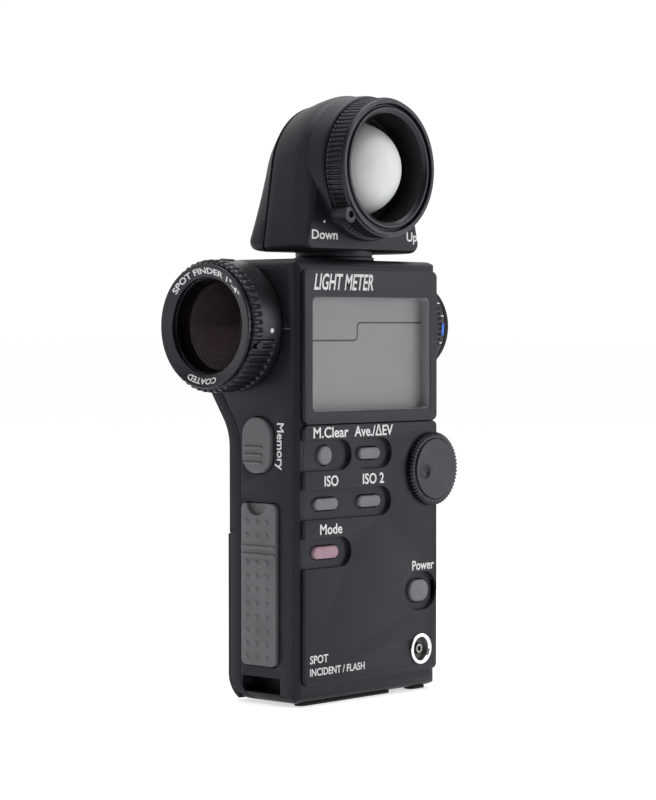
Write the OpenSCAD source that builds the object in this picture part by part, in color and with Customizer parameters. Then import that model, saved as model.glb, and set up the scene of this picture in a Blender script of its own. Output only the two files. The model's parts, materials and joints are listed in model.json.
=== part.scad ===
// Handheld light meter with a turning incident head and a zoom spot finder.
// Millimetres. X runs from the lens side to the eyepiece side, Y from the display
// face to the back, Z up. The origin is the mouth of the tripod socket.

/* [Body] */
// width of the body across the display face
body_width = 60; // [58:0.5:64]
// how far the key floor stands in front of the swivel axis
body_front = 13.3; // [12.9:0.1:14]
// how far the back face stands behind the swivel axis
body_back = 12.4; // [12:0.1:13]
// height of the casing floor above the surface the meter stands on
floor_gap = 0.8; // [0.6:0.1:1.2]
// wall thickness of the casing halves
wall = 2; // [1.8:0.1:2.2]
// how far the raised front plate stands proud of the key floor
plate_rise = 1.35; // [1:0.05:1.6]
// rounding of the two front upright edges
corner_r = 3; // [2:0.5:4]
// rounding of the rear bottom edge
heel_r = 7; // [5:0.5:8]
// width of the band of the rear casing half seen from the side
seam_band = 4.4; // [4:0.1:4.8]
// height where the display panel meets the key panel
divider_z = 77.9; // [77:0.1:78.5]

/* [Spot finder] */
// height of the lens axis
axis_z = 105.1; // [104:0.1:106]
// how far the lens axis lies behind the swivel axis
axis_y = 9.8; // [9:0.1:10.5]
// radius of the round bulge behind the lens
bulge_r = 18.6; // [18:0.1:19]
// radius over the ribs of the zoom ring
zoom_r = 18.6; // [18:0.1:19]
// outer radius of the fixed lens barrel inside the zoom ring
barrel_r = 16.4; // [16:0.1:16.8]
// how far the front lens bezel stands out from the casing side
lens_reach = 12.5; // [12:0.5:13]
// radius of the front bezel
bezel_r = 17.2; // [17:0.1:17.6]
// number of ribs round the zoom ring
zoom_ribs = 68; // [48:1:84]
// how far the eyepiece stands out from the casing side
eye_reach = 17.3; // [16.5:0.1:18]
// radius of the dioptre ring
eye_r = 13.7; // [13.3:0.1:14]

/* [Incident head] */
// height of the centre of the diffuser
dome_z = 149.4; // [149:0.1:150]
// half width of the head at its foot
head_half = 24; // [23:0.5:25]
// radius of the arched top of the head
head_r = 21.2; // [20.8:0.1:22]
// underside of the head
head_foot = 125.9; // [125.6:0.1:126.5]
// radius of the round boss behind the retracting ring
boss_r = 20.4; // [20:0.1:20.8]
// radius over the ribs of the retracting ring
ring_r = 19.6; // [19.2:0.1:20]
// number of ribs round the retracting ring
ring_ribs = 84; // [60:1:96]
// how far the front of the retracting ring stands in front of the swivel axis
ring_front = 21.3; // [21:0.1:22]
// radius of the white diffuser dome
dome_r = 13.2; // [12.6:0.1:13.4]
// radius of the hollow swivel shaft
shaft_r = 7; // [6.5:0.1:7.2]

/* [Keys and wheel] */
// height of the upper key row
row_1 = 69.3; // [69:0.1:69.6]
// height of the middle key row
row_2 = 55.8; // [55.5:0.1:56.1]
// height of the lower key row
row_3 = 42.4; // [42.1:0.1:42.7]
// height of the pockets the keys lie in
pocket_h = 8.5; // [8:0.1:8.8]
// height of the oblong keys
key_h = 3.3; // [3:0.1:3.8]
// gap all round a key
key_gap = 0.2; // [0.15:0.05:0.3]
// radius of the jog wheel
jog_r = 10.5; // [10:0.1:10.8]
// number of teeth round the jog wheel
jog_teeth = 60; // [40:1:72]

/* [Base] */
// radius of the hole of the 1/4 inch tripod socket
socket_r = 3.175; // [3.1:0.025:3.2]
// depth of that hole
socket_deep = 7.6; // [6:0.1:7.8]

/* [Hidden] */
$fn = 64;
half = body_width / 2;
plate_y = body_front + plate_rise;
top_z = axis_z + bulge_r;
cav_x = half - wall;
key_floor = -body_front;
inner_floor = wall - body_front;
board_y = -8;
flange_y = inner_floor + 0.1;
fair_a = 33.8;
fair_r = 14;
head_back = 10.2;
head_seam = 5;
tube_r = 14.3;
tube_in = 12.7;
cell_y = 2.6;
cell_z = 18.2;
jog_x = 25.4;
jog_z = 64;
sync_x = 20.8;
sync_z = 12.2;
power_x = 21;
power_z = 28.95;
bar_pin_x = -28.4;
bar_pin_z = 13.2;
cover_top = 47;
cover_out = 0.9;
cover_in = 0.4;
run = 0.06;
case_holes = [[25.6, 60], [-25.6, 60], [25.6, 38], [-25.6, 33]];
head_holes = [[18.8, 133.4], [-18.8, 133.4]];

// ---- helpers -------------------------------------------------------------

module block(a, b) {
    translate(a) cube([b[0] - a[0], b[1] - a[1], b[2] - a[2]]);
}

module rod_x(y, z, x0, x1, r) {
    translate([x0, y, z]) rotate([0, 90, 0]) cylinder(h = x1 - x0, r = r);
}

module rod_y(x, z, y0, y1, r) {
    translate([x, y0, z]) rotate([-90, 0, 0]) cylinder(h = y1 - y0, r = r);
}

module rod_z(x, y, z0, z1, r) {
    translate([x, y, z0]) cylinder(h = z1 - z0, r = r);
}

module pipe_x(y, z, x0, x1, ro, ri) {
    difference() {
        rod_x(y, z, x0, x1, ro);
        rod_x(y, z, x0 - 1, x1 + 1, ri);
    }
}

module pipe_y(x, z, y0, y1, ro, ri) {
    difference() {
        rod_y(x, z, y0, y1, ro);
        rod_y(x, z, y0 - 1, y1 + 1, ri);
    }
}

module pipe_z(x, y, z0, z1, ro, ri) {
    difference() {
        rod_z(x, y, z0, z1, ro);
        rod_z(x, y, z0 - 1, z1 + 1, ri);
    }
}

// a flat shape drawn in X and Z, carried along Y from y0 to y1
module along_y(y0, y1) {
    translate([0, y1, 0]) rotate([90, 0, 0]) linear_extrude(height = y1 - y0) children();
}

// a flat shape drawn in Y and Z, carried along X from x0 to x1
module along_x(x0, x1) {
    translate([x0, 0, 0]) rotate([90, 0, 90]) linear_extrude(height = x1 - x0) children();
}

// rectangle with round corners from (a0, b0) to (a1, b1)
module plate_2d(a0, b0, a1, b1, r) {
    union() {
        translate([a0 + r, b0]) square([a1 - a0 - 2 * r, b1 - b0]);
        translate([a0, b0 + r]) square([a1 - a0, b1 - b0 - 2 * r]);
        for (a = [a0 + r, a1 - r]) {
            for (b = [b0 + r, b1 - r]) {
                translate([a, b]) circle(r = r);
            }
        }
    }
}

// oblong with full round ends, w along the first axis and h along the second
module oblong_2d(a, b, w, h) {
    union() {
        translate([a - (w - h) / 2, b - h / 2]) square([w - h, h]);
        translate([a - (w - h) / 2, b]) circle(r = h / 2);
        translate([a + (w - h) / 2, b]) circle(r = h / 2);
    }
}

// what has to come off a square corner at (a, b) to round it with radius r
module corner_2d(a, b, sa, sb, r) {
    difference() {
        translate([min(a, a + sa * r) - (sa > 0 ? 1 : 0), min(b, b + sb * r) - (sb > 0 ? 1 : 0)])
            square([r + 1, r + 1]);
        translate([a + sa * r, b + sb * r]) circle(r = r);
    }
}

// side outline of the casing, drawn in Y and Z and shrunk by i: one outline with a
// straight fairing eased into the back, and the round bulge, which it cuts by 0.05
module side_2d(i) {
    back = body_back - i;
    front = -body_front + i;
    low = floor_gap + i;
    high = top_z - i;
    rr = bulge_r - i;
    step = (axis_y + rr * cos(fair_a) - back) / sin(fair_a);
    knee_z = axis_z - rr * sin(fair_a) - step * cos(fair_a);
    ease = fair_r + i;
    lap = ease * tan(fair_a / 2);
    difference() {
        union() {
            polygon(concat(
                [[front, low], [back, low], [back, knee_z - lap]],
                [for (k = [1 : 8]) let (a = fair_a * k / 8)
                    [back + ease * (1 - cos(a)), knee_z - lap + ease * sin(a)]],
                [[axis_y + (rr - 0.05) * cos(fair_a), axis_z - (rr - 0.05) * sin(fair_a)],
                 [axis_y, axis_z], [axis_y, high - 0.015], [front, high - 0.015]]));
            translate([axis_y, axis_z]) circle(r = rr);
        }
        corner_2d(front, low, 1, 1, max(corner_r - i, 0.8));
        corner_2d(front, high, 1, -1, max(corner_r - i, 0.8));
        corner_2d(back, low, -1, 1, max(heel_r - i, 0.8));
    }
}

// the casing outline as a solid, shrunk by i
module casing(i) {
    intersection() {
        along_x(i - half, half - i) side_2d(i);
        linear_extrude(height = 200) difference() {
            translate([i - half, i - body_front]) square([body_width - 2 * i, 60]);
            corner_2d(i - half, i - body_front, 1, 1, max(corner_r - i, 0.8));
            corner_2d(half - i, i - body_front, -1, 1, max(corner_r - i, 0.8));
        }
        along_y(-40, 40) plate_2d(i - half, floor_gap + i, half - i, top_z - i + 0.05,
                                  max(corner_r - i, 0.8));
    }
}

// the room of the front casing half
module front_room() {
    union() {
        translate([0, -seam_band, 0]) along_x(-half - 5, half + 5) side_2d(0);
        block([-half - 5, -30, axis_z], [half + 5, 20, top_z + 5]);
    }
}

// ring with n ribs between radius r0 and r1, drawn flat
module ribbed_2d(n, r0, r1) {
    pts = [for (k = [0 : 4 * n - 1])
        let (q = k % 4, a = 360 * (floor(k / 4) + [0, 0.16, 0.5, 0.66][q]) / n,
             r = (q == 1 || q == 2) ? r1 : r0)
        [r * cos(a), r * sin(a)]];
    polygon(pts);
}

// key cap with its retaining flange and stem, drawn round (0, 0)
module key(x, z, w, h, out) {
    translate([x, 0, z]) {
        along_y(-out, flange_y) oblong_2d(0, 0, w, h);
        along_y(flange_y, flange_y + 0.7) oblong_2d(0, 0, w + 1.4, h + 1.4);
        rod_y(0, 0, flange_y + 0.7, -9.95, 1.2);
    }
}

module key_hole(x, z, w, h) {
    along_y(-plate_y - 1, inner_floor + 0.05)
        oblong_2d(x, z, w + 2 * key_gap, h + 2 * key_gap);
}

// one arch of the head, drawn in X and Z: round top r, foot half width w from z0 up
module arch_slab(y, r, w, z0) {
    translate([0, y, 0]) rotate([90, 0, 0]) linear_extrude(height = 0.05) hull() {
        translate([0, dome_z]) circle(r = r, $fn = 48);
        for (s = [-1, 1]) translate([s * (w - 2), z0 + 2]) circle(r = 2, $fn = 24);
    }
}

// the head outline as a solid, shrunk by i
module head_block(i) {
    hull() {
        arch_slab(-11.65 + i, 17.5 - i, head_half - 0.9 - i, head_foot + 0.9 + i);
        arch_slab(-10.6 + i * 0.7, 19.2 - i, head_half - 0.2 - i, head_foot + 0.2 + i);
        arch_slab(-7, head_r - i, head_half - i, head_foot + i);
        arch_slab(head_seam, 18.6 - i, head_half - 0.3 - i, head_foot + i);
        arch_slab(8.6 - i * 0.8, 15.6 - i, head_half - 1.4 - i, head_foot + 0.5 + i);
        arch_slab(head_back - i, 12 - i, head_half - 3.2 - i, head_foot + 1.9 + i);
    }
}

// ---- casing --------------------------------------------------------------

module front_shell() {
    color("#2b2b2f") difference() {
        union() {
            difference() {
                intersection() {
                    casing(0);
                    front_room();
                }
                difference() {
                    casing(wall);
                    block([-half, -9, 0], [-20, 7.9, 9.8]);
                    rod_z(0, 0, 0, 9, 7.5);
                    for (p = case_holes) rod_y(p[0], p[1], board_y + 1.3, body_back, 2.6);
                    rod_y(0, 26, -13, board_y, 2.2);
                    for (s = [-1, 1]) rod_y(s * 16, 117, -13, board_y, 1.6);
                    block([-29, -8.2, 10.9], [-26.8, -6.9, 15.4]);
                    block([-29, 7.25, 10.9], [-26.8, 7.95, 15.4]);
                    for (s = [-1, 1]) block([s * 14 - 0.8, -12, 15], [s * 14 + 0.8, -4.7, 18.6]);
                }
            }
            along_y(-plate_y, key_floor) difference() {
                plate_2d(-27.8, 6, 28.2, divider_z - 0.15, 1.5);
                oblong_2d(-28.8, 69.35, 40, pocket_h);
                oblong_2d(0.4, 69.35, 15.8, pocket_h);
                oblong_2d(-12, 55.75, 40, pocket_h - 0.3);
                oblong_2d(-28.8, row_3 - 0.1, 40, pocket_h - 0.2);
                oblong_2d(power_x, power_z, 13.8, 11);
            }
        }
        key_hole(-18.85, row_1, 5.41, 5.4);
        key_hole(-0.4, row_1, 9, key_h);
        key_hole(-18.4, row_2, 9.6, key_h);
        key_hole(-0.4, row_2, 9.4, key_h);
        key_hole(-18.6, row_3, 10.2, key_h + 0.2);
        key_hole(power_x, power_z, 8.4, 6.4);
        rod_y(jog_x, jog_z, -plate_y - 1, -9.5, 1.5 + run);
        rod_y(sync_x, sync_z, -plate_y - 1, -9, 4.22);
        along_y(-plate_y - 1, inner_floor + 0.05) plate_2d(-25.5, 80.5, 26, 114.2, 2);
        along_x(-half - 1, -cav_x + 0.05) plate_2d(-6.65, 10.6, 7, 56.2, 2);
        along_x(-half - 1, -cav_x + 0.05) plate_2d(-4.6, 64.1, 6.5, 80, 5.3);
        rod_y(bar_pin_x, bar_pin_z, -7.9, 7.9, 0.77);
        block([-half - 1, -7.2, 3.2], [-22.4, 7.2, 7.6]);
        block([-26.6, -7.2, -1], [-22.4, 7.2, 4]);
        rod_z(0, 0, -1, 8.45, 5.02);
        rod_z(0, 0, top_z - wall - 1, top_z + 1, shaft_r + run);
        rod_x(axis_y, axis_z, -half - 1, -cav_x + 1, tube_r + 0.05);
        rod_x(axis_y, axis_z, cav_x - 1, half + 1, 11.25);
        for (p = case_holes) rod_y(p[0], p[1], 0, 9, 1);
    }
}

module rear_shell() {
    color("#2b2b2f") difference() {
        casing(0);
        front_room();
        difference() {
            casing(wall);
            for (p = case_holes) rod_y(p[0], p[1], 8, body_back, 3);
        }
        intersection() {
            difference() {
                block([-half - 1, 8.4, -1], [half + 1, 20, cover_top + 0.2]);
                along_x(-half - 2, half + 2) side_2d(0.5);
            }
            block([-half - 1, 8.4, -1], [half + 1, 20, cover_top + 0.2]);
        }
        rod_z(0, 0, -1, 8.45, 5.02);
        block([-26.6, 7, 9.5], [26.6, 20, 28]);
        block([-4, 7, 38.4], [8, 20, 44.2]);
        rod_x(axis_y, axis_z, -half - 1, -cav_x + 1, tube_r + 0.05);
        rod_x(axis_y, axis_z, cav_x - 1, half + 1, 11.25);
        for (p = case_holes) {
            rod_y(p[0], p[1], 7, 14, 1.2);
            rod_y(p[0], p[1], 10.6, 14, 2.1);
        }
    }
}

module display_bezel() {
    color("#26262a") along_y(-plate_y, key_floor) difference() {
        plate_2d(-27.8, divider_z + 0.15, 28.2, 120.8, 1.8);
        plate_2d(-24.6, 81.44, 25.05, 113.2, 1.5);
    }
}

module display_window() {
    color([0.7, 0.75, 0.78, 0.5]) along_y(key_floor, key_floor + 0.98)
        plate_2d(-25.45, 80.55, 25.95, 114.15, 2);
}

module lcd_baffle() {
    color("#58585c") along_y(key_floor + 1, inner_floor) difference() {
        plate_2d(-25.45, 80.55, 25.95, 114.15, 2);
        plate_2d(-24.6, 81.44, 25.05, 113.2, 1.2);
    }
}

module lcd_glass() {
    color("#8f9496") block([-26.6, inner_floor, 79.4], [27.1, inner_floor + 1.8, 115]);
}

module base_feet() {
    color("#1c1c1e") {
        linear_extrude(height = floor_gap) union() {
            oblong_2d(-7, -9.6, 38, 3.6);
            oblong_2d(24, -9.6, 7, 3.6);
            oblong_2d(-15, 3.2, 12, 3.6);
            oblong_2d(18, 3.2, 18, 3.6);
        }
    }
}

module tripod_bush() {
    color("#b9b9bd") difference() {
        union() {
            rod_z(0, 0, 0, floor_gap, 7);
            rod_z(0, 0, floor_gap, 8.4, 5);
        }
        rod_z(0, 0, -1, socket_deep, socket_r);
    }
}

module case_screws() {
    color("#8a8a8e") for (p = case_holes) difference() {
        union() {
            rod_y(p[0], p[1], 10.65, 11.8, 2);
            rod_y(p[0], p[1], 1, 10.65, 0.98);
        }
        along_y(11.2, 12.5) for (a = [0, 90]) translate([p[0], p[1]]) rotate(a)
            square([2.4, 0.5], center = true);
    }
}

// ---- electronics ---------------------------------------------------------

module main_board() {
    color("#2f6b46") difference() {
        block([-26.5, board_y, 20], [26.5, board_y + 1.2, 118]);
        for (p = case_holes) rod_y(p[0], p[1], -12, 0, 2.8);
    }
}

module board_chips() {
    color("#222226") {
        block([-8, board_y + 1.2, 60], [8, board_y + 2.3, 76]);
        block([10, board_y + 1.2, 44], [17, board_y + 2.2, 52]);
        block([-17, board_y + 1.2, 44], [-10, board_y + 2.4, 50]);
        block([12, board_y + 1.2, 66], [19, board_y + 2.2, 70]);
    }
}

module key_switches() {
    color("#c9c9cc") {
        for (p = [[-18.85, row_1], [-0.4, row_1], [-18.4, row_2], [-0.4, row_2],
                  [-18.6, row_3], [power_x, power_z]])
            block([p[0] - 2.5, board_y - 1.2, p[1] - 2.5], [p[0] + 2.5, board_y, p[1] + 2.5]);
        block([-24.4, -1.5, 69], [-22.4, 3.5, 75]);
        block([-24.4, -1.5, 45.5], [-22.4, 3.5, 50.5]);
    }
}

module side_board() {
    color("#2f6b46") block([-22.4, board_y + 1.2, 44], [-21.4, 5, 82]);
}

module jog_encoder() {
    color("#2a2a2c") difference() {
        block([19.6, -10.9, 58.2], [27.7, board_y, 69.8]);
        rod_y(jog_x, jog_z, -12, -8.6, 1.5 + run);
    }
}

module battery_cell() {
    color("#c7a03c") {
        rod_x(cell_y, cell_z, -24.6, 24.6, 7.25);
        rod_x(cell_y, cell_z, 24.6, 25.9, 2.75);
    }
}

module battery_contacts() {
    color("#c8c8cc") {
        block([25.9, -1.4, 12.2], [26.4, 6.6, 24.2]);
        pipe_x(cell_y, cell_z + 0.8, -25.6, -24.6, 3.4, 2.4);
        block([-26.1, -1.4, 15.6], [-25.6, 6.6, 24.2]);
    }
}

// ---- keys ----------------------------------------------------------------

module clear_button() {
    color("#87878a") key(-18.85, row_1, 5.41, 5.4, 14.25);
}

module average_button() {
    color("#87878a") key(-0.4, row_1, 9, key_h, 14.25);
}

module iso_one_button() {
    color("#87878a") key(-18.4, row_2, 9.6, key_h, 14.25);
}

module iso_two_button() {
    color("#87878a") key(-0.4, row_2, 9.4, key_h, 14.25);
}

module mode_button() {
    color("#a98896") key(-18.6, row_3, 10.2, key_h + 0.2, 14.25);
}

module power_button() {
    color("#87878a") key(power_x, power_z, 8.4, 6.4, 14.3);
}

module memory_button() {
    color("#646669") {
        along_x(-half - 1.1, -cav_x + 0.1) plate_2d(-4.4, 64.3, 6.3, 79.8, 5.1);
        along_x(-cav_x + 0.1, -cav_x + 0.8) plate_2d(-5.2, 63.4, 7.1, 80.7, 5.6);
        rod_x(1, 72, -cav_x + 0.8, -25.4, 1.6);
        for (z = [71.3, 69.4, 67.2]) along_x(-half - 1.4, -half - 1.1)
            plate_2d(-1.2, z - 0.35, 5.3, z + 0.35, 0.3);
    }
}

module measuring_bar() {
    color("#646669") difference() {
        union() {
            along_x(-half - 1, -28.6) difference() {
                plate_2d(-6.45, 10.85, 6.8, 55.95, 1.8);
                translate([0.9, 56.4]) circle(r = 3.8);
            }
            along_x(-29.5, -28.6) plate_2d(-6.45, 10.85, 6.8, 55.95, 1.8);
            rod_y(bar_pin_x, bar_pin_z, -6.2, 6.55, 1.7);
            rod_x(1, 48, -28.7, -25.6, 1.6);
            for (z = [43.6, 41.7]) along_x(-half - 1.3, -half - 1)
                plate_2d(-4.4, z - 0.35, 5.2, z + 0.35, 0.3);
            for (y = [-2.85, 0.9, 4.65]) {
                for (z = [50.7, 46.9, 39.4, 35.6, 31.8, 28, 24.2, 20.5, 16.8, 13]) {
                    rod_x(y, z, -half - 1.3, -half - 1, 0.75);
                }
            }
        }
        rod_y(bar_pin_x, bar_pin_z, -9, 9, 0.75 + run);
    }
}

module bar_pin() {
    color("#b0b0b4") rod_y(bar_pin_x, bar_pin_z, -7.8, 7.8, 0.75);
}

module jog_wheel() {
    color("#2a2a2d") difference() {
        union() {
            translate([jog_x, -14.85, jog_z]) rotate([90, 0, 0])
                linear_extrude(height = 1.55) ribbed_2d(jog_teeth, jog_r - 0.35, jog_r);
            rod_y(jog_x, jog_z, -16.9, -16.4, 8.65);
            rod_y(jog_x, jog_z, -14.86, -8.8, 1.5);
        }
        rod_y(jog_x - 5, jog_z - 0.6, -18, -16.3, 2.1);
    }
}

module sync_shell() {
    color("#d5d5d8") difference() {
        union() {
            rod_y(sync_x, sync_z, -15.3, -plate_y, 4.5);
            rod_y(sync_x, sync_z, -plate_y, -9.4, 4.2);
        }
        rod_y(sync_x, sync_z, -16, -11.4, 3.2);
        rod_y(sync_x, sync_z, -12, -9, 1.5);
    }
}

module sync_insulator() {
    color("#7a5b3c") pipe_y(sync_x, sync_z, -13.6, -11.4, 3.18, 1.35);
}

module sync_contact() {
    color("#b5913e") difference() {
        rod_y(sync_x, sync_z, -14.4, -8.9, 1.33);
        rod_y(sync_x, sync_z, -15, -11.5, 0.7);
    }
}

// ---- battery cover -------------------------------------------------------

module battery_cover() {
    color("#2b2b2f") difference() {
        intersection() {
            difference() {
                along_x(-half + 0.4, half - 0.4) side_2d(-cover_out);
                along_x(-half, half) side_2d(cover_in);
            }
            block([-half, 8.6, 0.9], [half, 20, cover_top]);
        }
        block([-6.2, 12.7, 37.3], [10.2, 20, 44.7]);
        block([-2.2, 10, 39.8], [6.2, 20, 42.7]);
    }
}

module battery_latch() {
    color("#3a3a3f") {
        difference() {
            block([-6, 12.75, 37.5], [6, 14.1, 44.5]);
            for (x = [-4 : 2 : 4]) block([x - 0.4, 13.6, 38.3], [x + 0.4, 15, 43.7]);
        }
        block([-2, 11.9, 40], [2, 12.8, 42.5]);
        block([-3.5, 10.9, 38.8], [3.5, 11.9, 43.7]);
    }
}

// ---- head ----------------------------------------------------------------

module neck_collar() {
    color("#2b2b2f") pipe_z(0, 0, top_z, top_z + 0.9, 11.4, shaft_r + run);
}

module swivel_shaft() {
    color("#9a9aa0") difference() {
        union() {
            rod_z(0, 0, 120.2, head_foot + 2.1, shaft_r);
            rod_z(0, 0, head_foot + 2.05, head_foot + 3.3, 8.6);
        }
        rod_z(0, 0, 119, 130, 5);
        pipe_z(0, 0, 120.6, 121.5, 8, 6.4);
    }
}

module shaft_ring() {
    color("#9a9aa0") difference() {
        pipe_z(0, 0, 120.65, 121.45, 9.3, 6.45);
        block([-2, 5.5, 120], [2, 12, 122]);
    }
}

// the hole of the swivel shaft and the seat of its flange
module shaft_seat() {
    rod_z(0, 0, 120, head_foot + 2.05, shaft_r + 0.02);
    rod_z(0, 0, head_foot + 2.04, head_foot + 3.36, 8.65);
}

module head_front_shell() {
    color("#2b2b2f") difference() {
        union() {
            difference() {
                intersection() {
                    head_block(0);
                    block([-30, -20, 120], [30, head_seam, 180]);
                }
                difference() {
                    head_block(wall);
                    for (p = head_holes) rod_y(p[0], p[1], -11, 9, 2.3);
                    for (s = [-1, 1]) rod_y(s * 17.3, dome_z - 3, -11, -1.8, 1.2);
                }
            }
            difference() {
                rod_y(0, dome_z, -14.5, -7, boss_r);
                rod_y(0, dome_z, -9.7, 0, boss_r - wall);
            }
            rod_z(0, 0, top_z + 1, head_foot + 0.05, 11);
        }
        rod_y(0, dome_z, -20, -8.4, 17.12);
        shaft_seat();
        for (p = head_holes) rod_y(p[0], p[1], -3, 9, 0.85);
    }
}

module head_rear_shell() {
    color("#2b2b2f") difference() {
        intersection() {
            head_block(0);
            block([-30, head_seam, 120], [30, 20, 180]);
        }
        difference() {
            head_block(wall);
            for (p = head_holes)
                block([p[0] - 2.7, head_seam - 1, p[1] - 2.7], [p[0] + 2.7, 12, p[1] + 2.7]);
        }
        shaft_seat();
        for (p = head_holes) {
            rod_y(p[0], p[1], 4, 14, 1);
            rod_y(p[0], p[1], 7.6, 14, 1.9);
        }
    }
}

module head_screws() {
    color("#8a8a8e") for (p = head_holes) difference() {
        union() {
            rod_y(p[0], p[1], 7.65, 8.6, 1.75);
            rod_y(p[0], p[1], -2, 7.65, 0.83);
        }
        along_y(8.1, 9.5) for (a = [0, 90]) translate([p[0], p[1]]) rotate(a)
            square([2.2, 0.45], center = true);
    }
}

module dome_guard() {
    color("#2b2b2f") difference() {
        union() {
            rod_y(0, dome_z, -ring_front + 0.2, -8.4, 17.1);
            rod_y(0, dome_z, -20.4, -19.7, 17.7);
        }
        rod_y(0, dome_z, -30, 0, 15.2);
    }
}

module retracting_ring() {
    color("#2b2b2f") difference() {
        union() {
            translate([0, -14.6, dome_z]) rotate([90, 0, 0])
                linear_extrude(height = 5.9) ribbed_2d(ring_ribs, ring_r - 0.4, ring_r);
            rod_y(0, dome_z, -ring_front, -20.4, 19.1);
            rod_y(-16, 135.4, -20.9, -14.6, 2.6);
        }
        rod_y(0, dome_z, -30, 0, 17.1 + run);
        rod_y(0, dome_z, -30, -19.6, 17.9);
        rod_y(-16, 135.4, -30, -20, 1.3);
    }
}

module dome() {
    color("#f2f2f0") translate([0, -8, dome_z]) rotate([90, 0, 0]) rotate_extrude() difference() {
        union() {
            intersection() {
                circle(r = dome_r);
                square([20, 20]);
            }
            translate([0, -1]) square([14.2, 1]);
        }
        intersection() {
            circle(r = dome_r - 1.3);
            translate([0, -1]) square([20, 21]);
        }
        translate([0, -2]) square([dome_r - 1.4, 2]);
        translate([-20, -2]) square([20, 30]);
    }
}

module dome_carrier() {
    color("#3a3a3e") difference() {
        rod_y(0, dome_z, -11, -5, 15.12);
        rod_y(0, dome_z, -12, -7, 14.22);
        rod_y(0, dome_z, -8, 0, 12.2);
    }
}

module light_cell() {
    color("#5a4a78") rod_y(0, dome_z, -3.4, -1.8, 5);
}

module sensor_board() {
    color("#2f6b46") {
        along_y(-1.8, -0.6) union() {
            translate([-17.2, 140]) square([34.4, 12]);
            translate([-8, 151]) square([16, 5]);
        }
    }
}

// ---- spot finder ---------------------------------------------------------

module lens_barrel() {
    color("#303034") difference() {
        rod_x(axis_y, axis_z, -half - 11, -half, barrel_r);
        rod_x(axis_y, axis_z, -half - 12, -half - 3, 15.2);
        rod_x(axis_y, axis_z, -half - 4, -half + 1, tube_r + 0.03);
    }
}

module objective_bezel() {
    color("#2b2b2f") difference() {
        union() {
            rod_x(axis_y, axis_z, -half - lens_reach, -half - 11.05, bezel_r);
            rod_x(axis_y, axis_z, -half - 11.1, -half - 8.5, 15.15);
        }
        rod_x(axis_y, axis_z, -half - 20, -half - 10.2, 14.15);
        rod_x(axis_y, axis_z, -half - 20, -half, 13);
    }
}

module objective_window() {
    color([0.3, 0.25, 0.27, 0.6]) rod_x(axis_y, axis_z, -half - 11.4, -half - 10.2, 14.1);
}

module objective_cell() {
    color("#1d1d20") difference() {
        rod_x(axis_y, axis_z, -half - 8.5, -half - 4.4, 15.15);
        rod_x(axis_y, axis_z, -half - 20, -half, 9.7);
        translate([-half - 8.6, axis_y, axis_z]) rotate([0, 90, 0])
            cylinder(h = 2.4, r1 = 14.6, r2 = 9.6);
    }
}

module objective_lens() {
    color([0.35, 0.45, 0.5, 0.6]) intersection() {
        rod_x(axis_y, axis_z, -half - 8, -half - 4.4, 9.65);
        translate([-half + 12, axis_y, axis_z]) sphere(r = 20);
    }
}

module zoom_ring() {
    color("#2b2b2f") difference() {
        union() {
            translate([-half - 10.9, axis_y, axis_z]) rotate([0, 90, 0])
                linear_extrude(height = 6) ribbed_2d(zoom_ribs, zoom_r - 0.6, zoom_r - 0.1);
            rod_x(axis_y, axis_z, -half - 5, -half - 0.35, zoom_r - 0.2);
        }
        rod_x(axis_y, axis_z, -half - 20, -half + 1, barrel_r + run);
    }
}

module zoom_carrier() {
    color("#303034") pipe_x(axis_y, axis_z, -31, -23, tube_in - run, 9);
}

module zoom_lens() {
    color([0.35, 0.45, 0.5, 0.6]) intersection() {
        rod_x(axis_y, axis_z, -29, -25, 8.97);
        translate([-47, axis_y, axis_z]) sphere(r = 22);
    }
}

module spot_tube() {
    color("#1d1d20") difference() {
        rod_x(axis_y, axis_z, -32.9, 18, tube_r);
        rod_x(axis_y, axis_z, -40, -4, tube_in);
        rod_x(axis_y, axis_z, -2.2, 20, tube_in);
        rod_x(axis_y, axis_z, -10, 10, 5.2);
    }
}

module prism() {
    color([0.6, 0.7, 0.75, 0.6])
        block([-2.2, axis_y - 6, axis_z - 6], [9.8, axis_y + 6, axis_z + 6]);
}

module spot_cell() {
    color("#5a4a78")
        block([1, axis_y - 3, axis_z + 6], [7, axis_y + 3, axis_z + 8.2]);
}

module eyepiece_tube() {
    color("#2b2b2f") difference() {
        union() {
            rod_x(axis_y, axis_z, cav_x - 1.6, half + 15, 11.2);
            rod_x(axis_y, axis_z, half, half + 7.5, 12.6);
        }
        rod_x(axis_y, axis_z, 20, 60, 9.6);
    }
}

module eyepiece_nut() {
    color("#6d6d72") pipe_x(axis_y, axis_z, cav_x - 1.6, cav_x, 13.2, 11.23);
}

module dioptre_ring() {
    color("#2b2b2f") difference() {
        translate([half + 7.7, axis_y, axis_z]) rotate([0, 90, 0])
            linear_extrude(height = 7.1) ribbed_2d(56, eye_r - 0.4, eye_r);
        rod_x(axis_y, axis_z, 30, 50, 11.2 + run);
    }
}

module eyepiece_cell() {
    color("#303034") pipe_x(axis_y, axis_z, 32, 38, 9.6 - run, 7.5);
}

module eye_lens() {
    color([0.35, 0.45, 0.5, 0.6]) rod_x(axis_y, axis_z, 33.2, 36.8, 7.48);
}

module eye_cup() {
    color("#1c1c1e") difference() {
        rod_x(axis_y, axis_z, half + 15, half + eye_reach, 13.4);
        rod_x(axis_y, axis_z, 40, 60, 9.6);
        translate([half + 15.4, axis_y, axis_z]) rotate([0, 90, 0])
            cylinder(h = eye_reach - 15.3, r1 = 9.6, r2 = 11.8);
    }
}

// ---- what is drawn -------------------------------------------------------

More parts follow.
